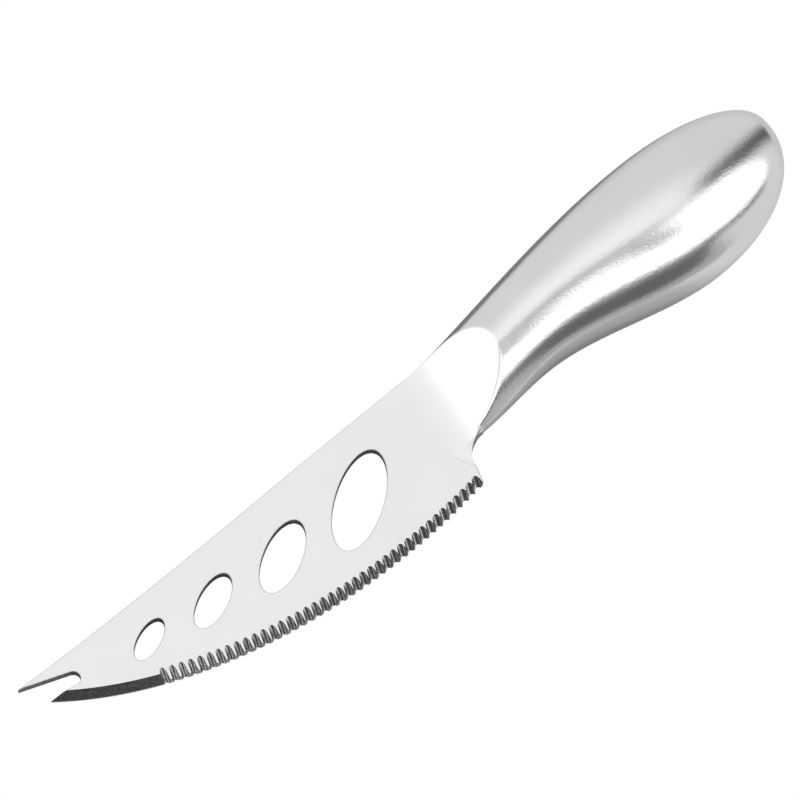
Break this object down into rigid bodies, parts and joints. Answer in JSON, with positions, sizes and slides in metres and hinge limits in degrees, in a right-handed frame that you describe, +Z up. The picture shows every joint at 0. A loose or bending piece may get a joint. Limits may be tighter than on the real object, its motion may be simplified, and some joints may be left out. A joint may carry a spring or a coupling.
{
  "type": "cheese knife",
  "caption": "All-steel cheese knife with a forked tip, slanted oval holes in the blade, a serrated curved edge and a hollow, swelling rounded handle.",
  "frame": {"origin": "on the table, under the middle of the knife's box as the knife lies at rest on its handle's swell and its lower tine", "axes": "+X from the tip to the butt, +Y from the cutting edge to the spine, +Z up from the table, out of the bevelled face; the blade plane leans about 3 degrees up towards the handle and 4 degrees down towards the edge"},
  "size_m": [0.2296, 0.0412, 0.0225],
  "materials": {
    "blade_steel": "fine satin, bright ground edges",
    "bolster_steel": "polished scoop",
    "handle_steel": "satin polish with soft reflections",
    "weld_steel": "ground flush"
  },
  "bodies": {
    "root": {"blade": "blade_steel", "bolster_upper": "bolster_steel", "bolster_lower": "bolster_steel", "handle_shell_upper": "handle_steel", "handle_shell_lower": "handle_steel", "girth_weld": "weld_steel", "seam_weld": "weld_steel"}
  },
  "joints": []
}
